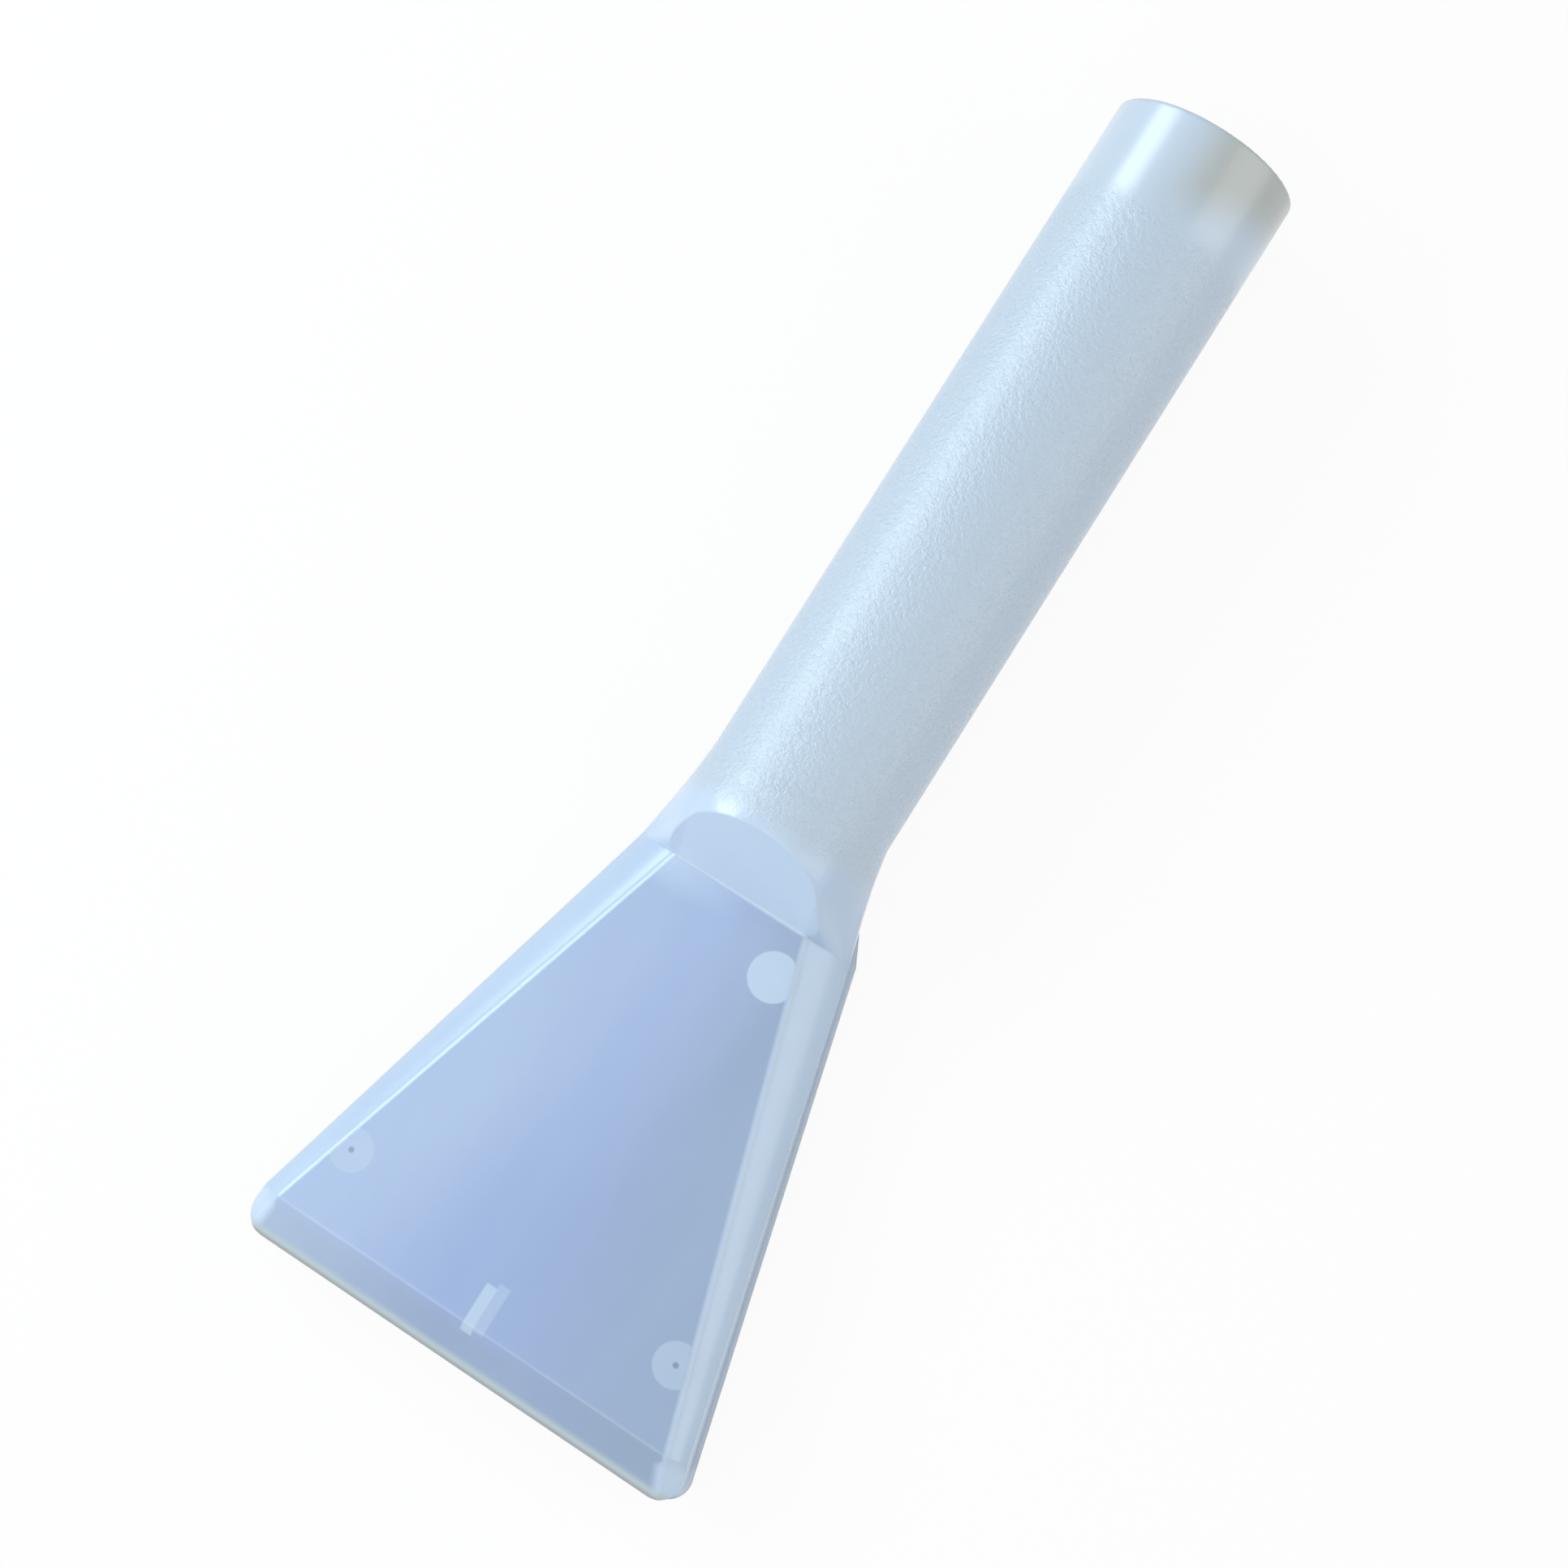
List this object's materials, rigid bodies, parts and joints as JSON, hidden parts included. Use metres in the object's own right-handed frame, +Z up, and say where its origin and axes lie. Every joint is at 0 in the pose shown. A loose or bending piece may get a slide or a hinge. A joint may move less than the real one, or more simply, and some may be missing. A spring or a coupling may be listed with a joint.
{
  "type": "upholstery extractor tool",
  "caption": "Hand nozzle for wet vacuum cleaning: a round tube handle flares through a ramped neck into a flat, see-through fishtail head with a thin suction slot.",
  "frame": {"origin": "middle of the underside on which the tool lies, halfway along its length", "axes": "+Y along the tube towards its open end, +Z up out of the window, +X to the right"},
  "size_m": [0.1022, 0.276, 0.0393],
  "materials": {
    "milky_body": "milky translucent polypropylene, fine spark-grained on the handle and smooth on the head",
    "milky_cover": "milky translucent polypropylene, smooth"
  },
  "bodies": {
    "root": {"body": "milky_body", "back_cover": "milky_cover"}
  },
  "joints": []
}
